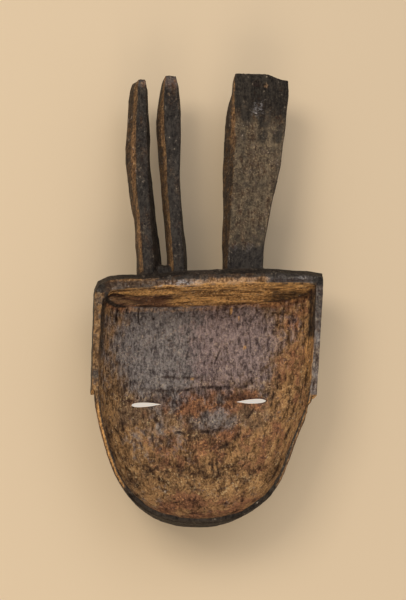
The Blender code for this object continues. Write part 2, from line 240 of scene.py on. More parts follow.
@dataclass
class Skin:
    """The mask's surface as arrays, with the relief and the coats laid on it."""

    points: Array
    edges: Array
    normals: Array
    grid: CarversGrid
    lift: Array = field(init=False)
    coats: dict[str, Array] = field(init=False, default_factory=dict)

    def __post_init__(self) -> None:
        """Places the points in the grid and starts with no relief."""
        self.u, self.v = self.grid.of(self.points)
        self.z = self.points[:, 2]
        self.lift = np.zeros(len(self.points))
        self.sites = np.stack([self.u, self.v, self.z], axis=1)

    def neighbours_mean(self, values: Array) -> Array:
        """The mean of each point's neighbours, from one row of values for each point."""
        count = len(self.points)
        first, second = self.edges.T
        degree = np.bincount(first, minlength=count) + np.bincount(second, minlength=count)
        flat = values.reshape(count, -1)
        sums = np.empty_like(flat, dtype=float)
        for column in range(flat.shape[1]):
            line = flat[:, column]
            sums[:, column] = np.bincount(first, line[second], count)
            sums[:, column] += np.bincount(second, line[first], count)
        return (sums / np.maximum(degree, 1)[:, None]).reshape(values.shape)

    def rub(self, where: Array, turns: int) -> None:
        """Rounds the surface off, as handling does.

        Args:
            where: how strongly each point is rubbed, 0 to 1.
            turns: how many times.
        """
        for _ in range(turns):
            self.points += 0.5 * where[:, None] * (self.neighbours_mean(self.points) - self.points)
        self.z = self.points[:, 2]

    def carve(self, amount: Array, where: Array | float = 1.0) -> None:
        """Raises (or with a negative amount cuts) the surface, in millimetres."""
        self.lift += amount * where

    def dent(self, marks: Sequence[Mark], where: Array | float = 1.0) -> None:
        """Sinks marks into the surface, each by its own depth."""
        for mark in marks:
            self.carve(-mark.depth * mark.strength(self), where)

    def coat(self, name: str, amount: Array) -> None:
        """Adds to one of the coats that the finish reads."""
        before = self.coats.get(name, np.zeros(len(self.points)))
        self.coats[name] = np.clip(before + np.maximum(amount, 0.0), 0.0, 1.0)

    def lay(self, where: Array, **amounts: Array | float) -> None:
        """Adds to several coats at one place, each by its own amount."""
        for name, amount in amounts.items():
            self.coat(name, amount * where)

    def stain(self, name: str, marks: Sequence[Mark], where: Array | float, share: float = 1.0) -> None:
        """Adds to one coat on every mark."""
        for mark in marks:
            self.coat(name, share * mark.strength(self) * where)

    def strongest(self, marks: Sequence[Mark]) -> Array:
        """The strength of the strongest of several marks at each point."""
        return np.maximum.reduce([mark.strength(self) for mark in marks])

    def noise(self, seed: int, size: float | Point, count: int = 3) -> Array:
        """Layered noise on the grid, about -1 to 1."""
        return Chance(seed).layers(self.sites, size, count)

    def off(self, place: Pair, size: Pair) -> Array:
        """How far each point is from a place in the grid, in ovals of a size."""
        return np.hypot((self.u - place[0]) / size[0], (self.v - place[1]) / size[1])

    def bareness(self) -> Array:
        """How far each point stands proud of its surroundings, in millimetres."""
        return np.sum((self.points - self.neighbours_mean(self.points)) * self.normals, axis=1)


class Mark:
    """Something that marks the skin at one place."""

    depth: float = 0.0

    def strength(self, skin: Skin) -> Array:
        """How strong the mark is at each point."""
        raise NotImplementedError


@dataclass(frozen=True)
class Oval(Mark):
    """A soft oval in the grid."""

    place: Pair
    size: Pair
    share: float = 1.0

    def strength(self, skin: Skin) -> Array:
        """Its share near its middle, 0 outside its half-sizes."""
        return self.share * ease(1.05, 0.30, skin.off(self.place, self.size))


@dataclass(frozen=True)
class Zone(Mark):
    """A soft-edged part of the grid.

    Two numbers for an axis are a step: where it starts and ends. Three are a band: its start,
    its end and how soft it is.
    """

    share: float = 1.0
    u: tuple[float, ...] = ()
    v: tuple[float, ...] = ()
    z: tuple[float, ...] = ()

    def strength(self, skin: Skin) -> Array:
        """Its share inside it, 0 outside."""
        amount = np.full(len(skin.points), self.share)
        for limits, values in ((self.u, skin.u), (self.v, skin.v), (self.z, skin.z)):
            if limits:
                shape = band if len(limits) == 3 else ease
                amount *= shape(*limits, values)
        return amount


@dataclass(frozen=True)
class Split(Mark):
    """A drying crack or a knife score along a line in the grid."""

    start: Pair
    end: Pair
    width: float = 0.8
    depth: float = 0.8

    def strength(self, skin: Skin) -> Array:
        """1 on the line, 0 a little way off it."""
        wander = 0.8 * Chance(77).swell(skin.sites, 6.0)
        a, b = np.array(self.start), np.array(self.end)
        along = b - a
        spots = np.stack([skin.u + wander, skin.v + wander], axis=1) - a
        share = np.clip(spots @ along / (along @ along), 0.0, 1.0)
        off = np.linalg.norm(spots - share[:, None] * along, axis=1)
        taper = 0.45 + 0.55 * np.sin(np.pi * np.clip(share, 0.05, 0.95))
        return ease(self.width * 1.6, self.width * 0.3, off / taper)


@dataclass(frozen=True)
class Ledge:
    """The edge of a cut that was pared no further: the wood above it stands proud."""

    start: Pair
    end: Pair
    height: float = 0.8
    fade: float = 16.0

    def relief(self, skin: Skin) -> tuple[Array, Array]:
        """The step itself.

        Args:
            skin: the surface.

        Returns:
            How far the wood above the ledge stands up, and the painted shadow line under it.
        """
        wander = 1.3 * skin.noise(5, (9.0, 30.0, 30.0))
        share = (skin.u - self.start[0]) / (self.end[0] - self.start[0])
        line = self.start[1] + (self.end[1] - self.start[1]) * share + wander
        off = skin.v - line
        broken = 0.78 + 0.75 * Chance(6).swell(skin.sites, (6.0, 30.0, 30.0))
        ends = band(0.04, 0.96, 0.06, share) * np.clip(broken, 0.0, 1.0)
        proud = self.height * ease(-0.7, 0.7, off) * np.exp(-np.maximum(off, 0) / self.fade) * ends
        # Painted shadow: a thin dark line just under the step.
        shade = band(-1.7, 0.0, 0.9, off) * ends
        return proud, shade


@dataclass(frozen=True)
class Spot(Mark):
    """A small pit, or a bright fleck of bare wood, at a place in the grid."""

    place: Pair
    size: Pair = (1.4, 1.4)
    depth: float = 0.8

    def strength(self, skin: Skin) -> Array:
        """1 at its middle, 0 outside it."""
        ragged = 1 + 0.35 * Chance(43).swell(skin.sites, 1.6)
        return ease(1.2, 0.5, skin.off(self.place, self.size) / ragged)


@dataclass(frozen=True)
class Nick(Mark):
    """A chip or dent at a point of the frame, in millimetres, and how bare its wood is."""

    place: Point
    radius: float
    depth: float
    bare: float = 0.0

    def strength(self, skin: Skin) -> Array:
        """1 at its middle, 0 outside its radius."""
        off = np.linalg.norm(skin.points - np.array(self.place), axis=1)
        ragged = 1 + 0.25 * Chance(41).swell(skin.points, self.radius * 0.6)
        return ease(1.0, 0.25, off / (self.radius * ragged))


@dataclass(frozen=True)
class Slits:
    """The two narrow eye openings: blunt at the temple, pointed at the nose."""

    line: float = -94.0
    inner: float = 32.8
    outer: float = 58.8
    half_height: float = 2.30
    tear: float = 0.42
    slant: float = 0.135
    spread: float = 0.10
    floor: float = 23.0
    reach: Pair = (-4.0, 44.0)
    margin: Pair = (6.5, 3.2)
    top: Pair = (33.0, 28.0)
    steps: int = 20

    def near(self, skin: Skin) -> Array:
        """1 in and beside the openings, 0 a few millimetres off."""
        off_line = skin.v - self.line - self.slant * (self.floor - skin.z)
        across = np.abs(skin.u)
        off_ends = np.maximum(0.0, np.maximum(self.inner - across, across - self.outer))
        return ease(*self.margin, np.hypot(off_line, off_ends)) * ease(*self.top, skin.z)

    def ring(self, side: float, height: float, grid: CarversGrid) -> list[Point]:
        """The outline of one opening at a height.

        Args:
            side: -1 for the left one, 1 for the right one.
            height: millimetres above the floor.
            grid: the carver's grid.

        Returns:
            Corners in metres.
        """
        drop = self.floor - height
        inner = self.inner - self.spread * drop
        length = self.outer + self.spread * drop - inner
        corners = []
        for step in range(2 * self.steps):
            angle = math.pi * step / self.steps
            share = (1 + math.cos(angle)) / 2
            opening = self.half_height * math.sin(angle) * share**self.tear
            x, y = grid.at(side * (inner + length * share), self.line + opening + self.slant * drop)
            corners.append((x / PER_METRE, y / PER_METRE, height / PER_METRE))
        return corners

    def cut(self, piece: bpy.types.Object, grid: CarversGrid) -> None:
        """Cuts both openings clean through the piece."""
        for side in (-1.0, 1.0):
            low, high = (self.ring(side, height, grid) for height in self.reach)
            count = len(low)
            walls = [(i, (i + 1) % count, count + (i + 1) % count, count + i) for i in range(count)]
            caps = [tuple(range(count))[::-1], tuple(range(count, 2 * count))]
            mesh = bpy.data.meshes.new("slit")
            mesh.from_pydata(low + high, [], walls + caps)
            knife = add("slit", mesh)
            square_up(mesh)
            rework(piece, "BOOLEAN", operation="DIFFERENCE", solver="MANIFOLD", object=knife)
            bpy.data.objects.remove(knife)
            bpy.data.meshes.remove(mesh)


@dataclass
class Hollow:
    """The scooped inside of the bowl, with its pared floor, rough walls and roof."""

    half_width: float = 89.8
    length: float = 194.0
    straight: float = 35.0
    depth: float = 55.0
    rim: float = 72.0
    rim_power: float = 2.50
    trough_power: float = 2.60
    roof_lean: float = 0.11
    roof_arch: float = 3.5
    jaw_flat: Pair = (1.6, 4.2)
    jaw_middle: float = 0.63
    jaw_reach: float = 0.26
    slits: Slits = field(default_factory=Slits)
    ledges: tuple[Ledge, ...] = (
        Ledge((-54.0, -80.2), (-14.0, -81.0), 1.4, 14.0),
        Ledge((-14.0, -80.4), (12.0, -78.3), 1.0, 20.0),
        Ledge((12.0, -78.8), (42.0, -79.6), 1.3, 18.0),
        Ledge((-34.0, -69.3), (0.0, -70.3), 1.1, 9.0),
        Ledge((-20.0, -118.4), (10.0, -117.6), 0.9, 14.0),
        Ledge((8.0, -117.2), (38.0, -115.4), 0.8, 14.0),
    )
    splits: tuple[Split, ...] = (
        Split((16.5, -48.0), (12.0, -59.5), 0.9, 1.1),
        Split((-76.0, -7.0), (-76.5, -22.0), 0.7, 0.8),
        Split((-38.6, -119.0), (-38.4, -127.0), 1.0, 1.2),
        Split((43.5, -107.0), (48.0, -99.0), 0.9, 0.6),
        Split((12.0, -142.0), (14.5, -157.0), 0.7, 0.4),
        Split((17.0, -142.0), (17.8, -157.0), 0.6, 0.4),
        Split((-57.0, -8.0), (-56.0, -24.0), 0.9, 0.8),
    )
    pits: tuple[Spot, ...] = (
        Spot((-43.2, -18.0)),
        Spot((-28.5, -37.0), (3.0, 1.0)),
        Spot((-12.0, -39.0), (1.6, 1.3)),
        Spot((-50.0, -174.5), (2.4, 2.0), 1.2),
        Spot((-65.5, -159.0), (2.0, 1.8), 1.2),
        Spot((37.5, -178.0), (2.0, 2.0), 1.0),
        Spot((-18.5, -176.5), (1.5, 1.3), 0.5),
        Spot((-30.0, -182.0), (1.5, 1.3), 0.5),
        Spot((-25.5, -185.5), (1.5, 1.3), 0.5),
    )
    flecks: tuple[Spot, ...] = (
        Spot((24.5, -13.5), (1.8, 3.4)),
        Spot((38.0, -46.5), (2.4, 2.6)),
        Spot((32.0, -20.0), (1.3, 3.4)),
        Spot((-6.0, -72.0), (2.2, 1.6)),
    )
    # Painted shadows over the inner ends of the eye slits.
    shadows: tuple[Oval, ...] = (
        Oval((-35.0, -90.0), (15.0, 5.5), 0.62),
        Oval((35.0, -90.0), (15.0, 5.5), 0.70),
    )
    # Grey bloom here is partly a painted sheen: the reflection of the cool sky light on the upper floor of
    # the hollow.
    greyed: tuple[Oval, ...] = (
        Oval((-24.0, -40.0), (84.0, 72.0)),
        Oval((26.0, -44.0), (66.0, 60.0), 0.85),
        Oval((14.0, -110.0), (36.0, 17.0), 0.62),
        Oval((-32.0, -128.0), (40.0, 24.0), 0.34),
    )
    reddened: tuple[Mark, ...] = (
        Zone(0.50, u=(38.0, 76.0), v=(-168.0, -90.0)),
        Oval((2.0, -93.0), (78.0, 20.0), 0.80),
        Oval((8.0, -134.0), (84.0, 34.0), 0.60),
        Zone(0.55, u=(-78.0, -58.0, 8.0), v=(-100.0, -20.0)),
        Zone(0.80, v=(-164.0, -182.0)),
    )
    yellowed: tuple[Mark, ...] = (
        Zone(0.85, v=(-96.0, -132.0)),
        Zone(0.55, u=(-50.0, -76.0)),
        Oval((49.0, -146.0), (22.0, 30.0), 0.85),
        Zone(0.95, u=(54.0, 74.0)),
    )
    smooth: Oval = Oval((-25.0, -42.0), (70.0, 48.0), 0.6)
    scraped: Oval = Oval((-4.0, -90.0), (66.0, 13.0), 0.12)
    # Painted shade: a dark strip high on the steep left wall, which faces away from the light.
    left_grime: Zone = Zone(0.68, u=(-83.5, -87.0), v=(-74.0, -44.0), z=(42.0, 54.0))
    right_grime: Zone = Zone(0.70, u=(86.0, 88.4), v=(-44.0, -7.0, 8.0))
    # Painted light: a golden strip high on the right wall, which faces the light.
    right_edge: Zone = Zone(0.65, u=(83.5, 87.0), v=(-82.0, -48.0, 6.0))

    def reach(self, skin: Skin) -> Array:
        """How far out each point is: 0 in the middle, 1 under the rim's inner edge."""
        down = np.maximum(0.0, -skin.v - self.straight) / (self.length - self.straight)
        off = np.clip((down - self.jaw_middle) / self.jaw_reach, -1.0, 1.0)
        flat = np.where(skin.u > 0, self.jaw_flat[1], self.jaw_flat[0]) * np.cos(off * np.pi / 2) ** 2
        across = np.abs(skin.u) / (self.half_width - flat)
        return (across**self.rim_power + down**self.rim_power) ** (1 / self.rim_power)

    def roof_line(self, skin: Skin) -> Array:
        """Where the roof stands at each point's height and place."""
        arch = self.roof_arch * np.clip(1 - (skin.u / self.half_width) ** 2, 0.0, 1.0)
        return -self.roof_arch - self.roof_lean * (self.rim - skin.z) + arch

    def bed(self, skin: Skin) -> Array:
        """1 on the hollow's floor and walls, 0 elsewhere."""
        reach = self.reach(skin)
        curve = self.trough_power
        floor = self.rim - self.depth * (1 - np.minimum(reach, 1.0) ** curve) ** (1 / curve)
        floor += 900.0 * np.maximum(0.0, reach - 1.0)
        sunk = np.clip((self.rim - skin.z) / self.depth, 0.0, 1.0)
        wall = (1 - sunk**curve) ** (1 / curve)
        off = np.minimum(np.abs(skin.z - floor), np.abs(reach - wall) * self.half_width)
        inside = ease(1.2, -1.0, skin.v - self.roof_line(skin))
        return ease(3.4, 1.6, off) * inside * ease(71.6, 70.6, skin.z) * ease(1.011, 1.004, reach)

    def roof(self, skin: Skin) -> Array:
        """1 on the roof, the flat end wall under the brow."""
        near = ease(2.6, 1.2, np.abs(skin.v - self.roof_line(skin)))
        across = ease(self.half_width + 1.5, self.half_width, np.abs(skin.u))
        return near * across * ease(15.0, 17.5, skin.z) * ease(71.9, 70.9, skin.z)

    def sweep(self, skin: Skin) -> Array:
        """Rows of a distance out from the middle, a distance round the jaw and a height."""
        turn = np.arctan2(np.maximum(0.0, -skin.v - self.straight), skin.u)
        above = np.maximum(0.0, skin.v + self.straight)
        around = turn * self.half_width * 0.9 + np.where(skin.u > 0, -above, above)
        return np.stack([self.reach(skin) * self.half_width, around, skin.z], axis=1)

    def marks(self, skin: Skin, seed: int, size: Pair, count: int = 3) -> Array:
        """Uneven marks that run up the floor and bend round the curve of the jaw.

        Args:
            skin: the surface.
            seed: which marks.
            size: how wide and how long they are.
            count: how many layers, each finer than the one before.

        Returns:
            A value of about -1 to 1 for each point.
        """
        sizes = (size[0], size[1], size[0] * 1.3)
        straight = skin.noise(seed, sizes, count)
        swept = Chance(seed + 1).layers(self.sweep(skin), sizes, count)
        turned = ease(0.38, 0.62, self.reach(skin)) * ease(-45.0, -85.0, skin.v)
        return straight + (swept - straight) * turned

    def roughness(self, skin: Skin) -> Array:
        """The roughness that carving and age left, the same for relief and for colour."""
        return self.marks(skin, 21, (3.2, 4.6)) * (1 - self.smooth.strength(skin))

    def undercut(self, skin: Skin) -> Array:
        """1 on the thin groove that undercuts the golden wood at the left of the roof; it is painted dark as
        shade.
        """
        return ease(2.4, 0.6, np.abs(skin.z - self.undercut_height(skin))) * band(-87.0, -30.0, 6.0, skin.u)

    def undercut_height(self, skin: Skin) -> Array:
        """The height of that line, which climbs to the roof's left end."""
        wander = 2.0 * skin.noise(35, (14.0, 40.0, 40.0), 2)
        return 49.0 + 13.0 * ease(-56.0, -84.0, skin.u) + wander

    def carve(self, skin: Skin) -> None:
        """Cuts the blade marks, ledges and splits."""
        bed, roof = self.bed(skin), self.roof(skin)
        bed = bed * (1 - self.slits.near(skin))
        out, around, _ = self.sweep(skin).T
        lower = ease(-84.0, -116.0, skin.v)
        side = ease(0.62, 0.78, self.reach(skin))
        long_cuts = Chance(3).scoops(skin.u, skin.v, (11.0, 34.0))
        short_cuts = Chance(8).scoops(skin.u + 0.5 * skin.v, skin.v - 0.4 * skin.u, (6.0, 8.5))
        side_cuts = Chance(9).scoops(out + 0.6 * skin.z, around, (8.0, 12.0))
        floor_cuts = 0.50 * long_cuts * (1 - lower) + 0.62 * short_cuts * lower
        skin.carve(floor_cuts * (1 - side) + 0.45 * side_cuts * side, bed)
        skin.carve(0.66 * self.roughness(skin), bed)
        skin.carve(0.20 * self.marks(skin, 25, (2.0, 3.2), 2), bed)
        for ledge in self.ledges:
            skin.carve(ledge.relief(skin)[0], bed)
        skin.dent(self.splits, bed)
        skin.dent(self.pits, bed)
        fibres = skin.noise(31, (26.0, 9.0, 1.9))
        slabs = skin.noise(33, (40.0, 20.0, 8.0), 2)
        skin.carve(0.55 * fibres + 0.9 * slabs - 0.9 * self.undercut(skin), roof)
        crease = ease(5.5, 0.5, skin.z - self.floor_under_roof(skin)) * band(-82.0, -22.0, 10.0, skin.u)
        skin.carve(-1.2 * crease, roof)

    def floor_under_roof(self, skin: Skin) -> Array:
        """The height at which the roof meets the bed."""
        inner = np.clip(np.abs(skin.u) / self.half_width, 0.0, 1.0)
        curve = self.trough_power
        return self.rim - self.depth * (1 - inner**curve) ** (1 / curve)

    def dress(self, skin: Skin) -> None:
        """Lays the coats: grey bloom with a painted sheen, red and ochre wood, grime, cracks, painted shade
        on the left wall, in low places and in the crease, painted light on the right wall, and painted
        shadows under the ledges and over the eye slits.
        """
        bed, roof = self.bed(skin), self.roof(skin)
        u, v = skin.u, skin.v
        cloud = skin.noise(51, (19.0, 25.0, 25.0))
        other_cloud = skin.noise(52, (13.0, 15.0, 18.0))
        blotch = skin.noise(54, (6.5, 7.5, 9.0))
        streak = self.marks(skin, 53, (3.6, 11.0))
        rough = self.roughness(skin)
        fibrous = 0.36 + 0.9 * ease(50.0, 64.0, u) + 0.5 * ease(-58.0, -70.0, u)
        fibres = self.marks(skin, 57, (2.1, 8.0), 2) * fibrous
        low = ease(-96.0, -120.0, v)
        # Raised wood of the carved roughness is lighter and its low places darker: painted shading of the
        # relief, with grain and blotches.
        tone = 0.55 + 0.26 * rough + 0.10 * streak + 0.10 * blotch + 0.26 * fibres + 0.18 * low * cloud
        grey = skin.strongest(self.greyed)
        in_grey = ease(0.2, 0.7, grey)
        cloud, other_cloud, blotch = (noise * (1 - 0.55 * in_grey) for noise in (cloud, other_cloud, blotch))
        lilac = ease(-34.0, 14.0, u + 14.0 * other_cloud) * ease(-96.0, -84.0, v)
        rust = skin.strongest(self.reddened) + 0.50 * other_cloud + 0.22 * streak + 0.35 * blotch - 0.10
        skin.lay(
            bed,
            tone=tone - self.scraped.strength(skin),
            bloom=grey * 1.05 + 0.36 * cloud - 0.16 * streak - 0.34 * blotch,
            lilac=0.85 * lilac + 0.35 * blotch,
            rust=rust * (1 - 0.6 * in_grey * ease(-92.0, -70.0, v)),
            ochre=skin.strongest(self.yellowed) + 0.40 * cloud + 0.25 * streak - 0.25 * blotch,
        )
        self.dress_top(skin, bed, roof)
        chin_edge = ease(0.93, 0.985, self.reach(skin)) * ease(-100.0, -140.0, v)
        # Painted shade on the left wall, and a dark strip of grime high on the right wall.
        grime = self.left_grime.strength(skin) + self.right_grime.strength(skin) * (1 + 0.3 * streak)
        skin.lay(
            bed,
            soot=grime + 0.28 * chin_edge,
            # Painted light on the right wall's upper edge.
            gold=self.right_edge.strength(skin),
            # Painted shade in the low places of the carved roughness, and dark grain lines.
            crack=0.60 * ease(0.30, 0.90, -rough) + 0.55 * ease(0.30, 0.9, -fibres),
        )
        # Painted shadow under each ledge, laid in the crack-and-shade coat.
        for ledge in self.ledges:
            skin.coat("crack", 0.95 * ledge.relief(skin)[1] * bed)
        skin.stain("crack", self.splits, bed)
        skin.stain("crack", self.pits, bed, 0.85)
        skin.stain("gold", self.flecks, bed, 0.85)
        # Painted shadows over the eye slits' inner ends.
        skin.stain("crack", self.shadows, bed)

    def dress_top(self, skin: Skin, bed: Array, roof: Array) -> None:
        """Dresses the golden roof, the painted shade in the crease and the undercut, and the red wood just
        under it.

        Args:
            skin: the surface.
            bed: 1 on the floor and walls.
            roof: 1 on the roof.
        """
        grain = skin.noise(61, (19.0, 12.0, 4.6))
        wide_grain = skin.noise(63, (34.0, 12.0, 6.0), 2)
        above = skin.z - self.floor_under_roof(skin) + 2.6 * wide_grain
        low_left = ease(1.0, -3.0, skin.z - self.undercut_height(skin)) * ease(-20.0, -42.0, skin.u)
        low_right = ease(44.0, 60.0, skin.u) * ease(62.0, 48.0, skin.z + 3.0 * wide_grain)
        edge = skin.z - 40.0 - 20.0 * ease(-58.0, -84.0, skin.u) - 1.5 * wide_grain
        left_end = ease(-50.0, -60.0, skin.u)
        corner = ease(1.0, -3.0, edge) * left_end
        # The undercut's dark line here, and the dark band in the crease below, are painted shade.
        lines = 0.8 * ease(2.2, 0.6, np.abs(edge)) * left_end + 0.9 * self.undercut(skin)
        crease = 0.85 * (1 - 0.8 * corner) * ease(3.0, 1.2, above)
        skin.lay(
            roof,
            gold=1.0 + 0.3 * wide_grain - 0.75 * low_left,
            tone=0.62 + 0.70 * grain + 0.20 * wide_grain,
            crack=np.clip(grain * 2.4 - 0.50, 0.0, 0.9) + lines + crease,
            soot=0.44 * low_left * (1 - 0.45 * corner) + 0.65 * low_right,
            rust=0.8 * low_left * (1 - 0.6 * corner) + 0.9 * ease(8.0, 2.0, above),
            ochre=0.45 * corner,
            bloom=0.22 * corner,
        )
        under = skin.v - self.roof_line(skin) + 1.6 * grain
        skin.lay(
            bed,
            rust=0.95 * ease(-8.0, -3.5, under),
            gold=0.45 * band(-5.0, -2.6, 1.2, under),
            # Painted shade along the crease, just under the roof.
            crack=0.80 * ease(-2.4, -0.8, under) * (1 - 0.7 * ease(-56.0, -66.0, skin.u)),
        )


@dataclass
class Rim:
    """The flat back of the bowl: the narrow rim, the worn ridge and the side boards."""

    nicks: tuple[Nick, ...] = (
        Nick((-65.1, -174.75, 70.5), 4.0, 1.6),
        Nick((80.0, -99.3, 68.0), 6.5, 2.0, 0.9),
        Nick((78.6, -105.5, 67.0), 5.0, 1.7, 0.9),
    )

    def back(self, skin: Skin) -> Array:
        """1 on the flat back of the rim, the brow's ridge and the side boards."""
        return ease(68.9, 70.5, skin.z)

    def ridge(self, skin: Skin) -> Array:
        """1 on the worn ridge between the roof and the bevel behind the horns."""
        return band(-2.5, 11.0, 2.0, skin.v) * ease(66.0, 69.5, skin.z)

    def boards(self, skin: Skin) -> Array:
        """1 on the side boards' backs."""
        return ease(86.5, 89.5, np.abs(skin.u)) * ease(-99.0, -94.0, skin.v)

    def carve(self, skin: Skin) -> None:
        """Waves the back a little and breaks the rim where it is broken."""
        long_wave = skin.noise(71, 22.0, 2)
        fine = skin.noise(72, 3.6, 2)
        skin.carve(0.40 * long_wave + 0.18 * fine, self.back(skin))
        skin.carve(0.28 * skin.noise(74, (9.0, 4.5, 9.0), 2), self.ridge(skin))
        skin.dent(self.nicks)

    def dress(self, skin: Skin, hollow: Hollow) -> None:
        """Lays the grey of old handling on the back, painted light on the rim's outer side edges, and the
        ridge's worn colours with a painted sheen on its crest.
        """
        u, v = skin.u, skin.v
        back, ridge, boards = self.back(skin), self.ridge(skin), self.boards(skin)
        cloud = skin.noise(73, (11.0, 8.0, 11.0))
        blotch = skin.noise(75, (4.5, 3.0, 4.5))
        chin = ease(-160.0, -180.0, v)
        # Painted light: warm light from the floor on the rim's outer edge at the sides, stronger on the
        # left.
        outer_edge = ease(1.004, 1.018, hollow.reach(skin)) * band(-166.0, -90.0, 5.0, v)
        outer_edge = outer_edge * (0.65 + 0.35 * (u < 0))
        skin.lay(back, tone=0.5 + 0.16 * cloud + 0.20 * blotch)
        skin.lay(
            back * (1 - ridge) * (1 - boards),
            soot=0.72 + 0.40 * chin + 0.25 * cloud - 0.95 * outer_edge,
            bloom=0.45 - 0.35 * chin + 0.35 * cloud - 0.7 * outer_edge,
            gold=0.95 * outer_edge,
            rust=0.60 * outer_edge,
        )
        left_board, right_board = back * boards * (u < 0), back * boards * (u > 0)
        skin.lay(left_board, ochre=0.70, bloom=0.28 + 0.4 * cloud, soot=0.40 + 0.3 * cloud)
        high = ease(-60.0, -20.0, v)
        skin.lay(right_board, ochre=0.30, bloom=0.65 + 0.3 * cloud, soot=0.34 * high + 0.18)
        left, middle = band(-46.0, -14.0, 12.0, u), band(-10.0, 42.0, 12.0, u)
        right, far_left = ease(42.0, 56.0, u), ease(-38.0, -52.0, u)
        crest = band(-1.5, 3.6, 2.2, v + 1.2 * cloud)
        dark_line = ease(2.0, 0.8, np.abs(v - 0.5 - 0.8 * cloud)) * band(52.0, 80.0, 4.0, u)
        skin.lay(ridge, bloom=0.35 + 0.5 * right + 0.4 * cloud, rust=0.35 * (1 - right))
        skin.lay(ridge, crack=0.8 * dark_line)
        skin.lay(ridge * (1 - crest), soot=0.66 + 0.3 * cloud - 0.22 * far_left, ochre=0.9 * far_left)
        # Painted sheen on the ridge's crest, brightest on the left, with worn wood in the middle.
        skin.lay(
            ridge * crest,
            soot=0.22 + 0.38 * right + 0.34 * far_left,
            rubbed=0.62 * left + 0.15 * right + 0.60 * blotch,
            worn=middle * (0.42 + 0.70 * blotch),
            ochre=middle,
        )
        for nick in self.nicks:
            skin.coat("gold", nick.bare * nick.strength(skin))


@dataclass
class Outside:
    """The bowl's outer side, the visor board and the face below, smoked nearly black."""

    # Painted light: warm light from the floor on the bowl's lower outer sides, stronger on the left.
    warmed: tuple[Zone, ...] = (
        Zone(0.60, u=(-60.0, -80.0), v=(-150.0, -112.0, 22.0), z=(34.0, 62.0)),
        Zone(0.40, u=(60.0, 80.0), v=(-150.0, -112.0, 22.0), z=(34.0, 62.0)),
    )
    # The boards' feet, which take painted light on the faces turned towards the chin.
    feet: Zone = Zone(v=(-102.0, -84.0, 1.0), z=(36.0, 42.0))
    face_centre: Pair = (0.0, -100.0)
    face_size: Pair = (1.0, 1 / 0.85)
    bowl_middle: float = 60.0

    def where(self, skin: Skin, hollow: Hollow) -> Array:
        """1 outside the hollow and below the rim's back."""
        inside = np.maximum(hollow.bed(skin), hollow.roof(skin))
        return (1 - inside) * ease(70.2, 68.6, skin.z)

    def carve(self, skin: Skin, hollow: Hollow) -> None:
        """Leaves faint blade marks on the outside, and fewer on the face."""
        outside = self.where(skin, hollow) * ease(16.0, 12.0, skin.v) * (1 - hollow.slits.near(skin))
        angle = np.arctan2(skin.v + self.bowl_middle, skin.u) * 90.0
        high = ease(6.0, 15.0, skin.z)
        skin.carve(0.50 * Chance(81).scoops(angle, skin.z * 1.4 + 0.2 * angle, (11.0, 15.0)), outside * high)
        skin.carve(0.18 * skin.noise(83, (3.2, 3.2, 5.0), 2), outside * (0.45 + 0.55 * high))

    def dress(self, skin: Skin, hollow: Hollow) -> None:
        """Smokes the outside, with painted light on the lower sides and the boards' feet and painted shade
        on the chin; the carved heart keeps traces of white clay.
        """
        outside = self.where(skin, hollow) * ease(17.0, 13.0, skin.v)
        cloud = skin.noise(85, 12.0)
        warm = skin.strongest(self.warmed)
        # Painted light on faces turned towards the chin, lit from the floor.
        foot = ease(0.35, 0.70, -skin.normals[:, 1]) * ease(84.0, 87.0, np.abs(skin.u))
        foot = foot * self.feet.strength(skin)
        face = ease(9.5, 6.0, skin.z) * ease(70.0, 60.0, skin.off(self.face_centre, self.face_size))
        skin.lay(
            outside,
            # Darker towards the chin: painted shade on the chin's outside.
            tone=0.48 + 0.25 * cloud - 0.42 * ease(-158.0, -178.0, skin.v),
            soot=0.98 + 0.25 * cloud - warm - 0.9 * foot,
            ochre=warm,
            rust=0.35 + 0.5 * cloud,
            clay=face * (0.75 + 0.5 * cloud),
        )
        skin.coat("gold", 0.8 * foot)


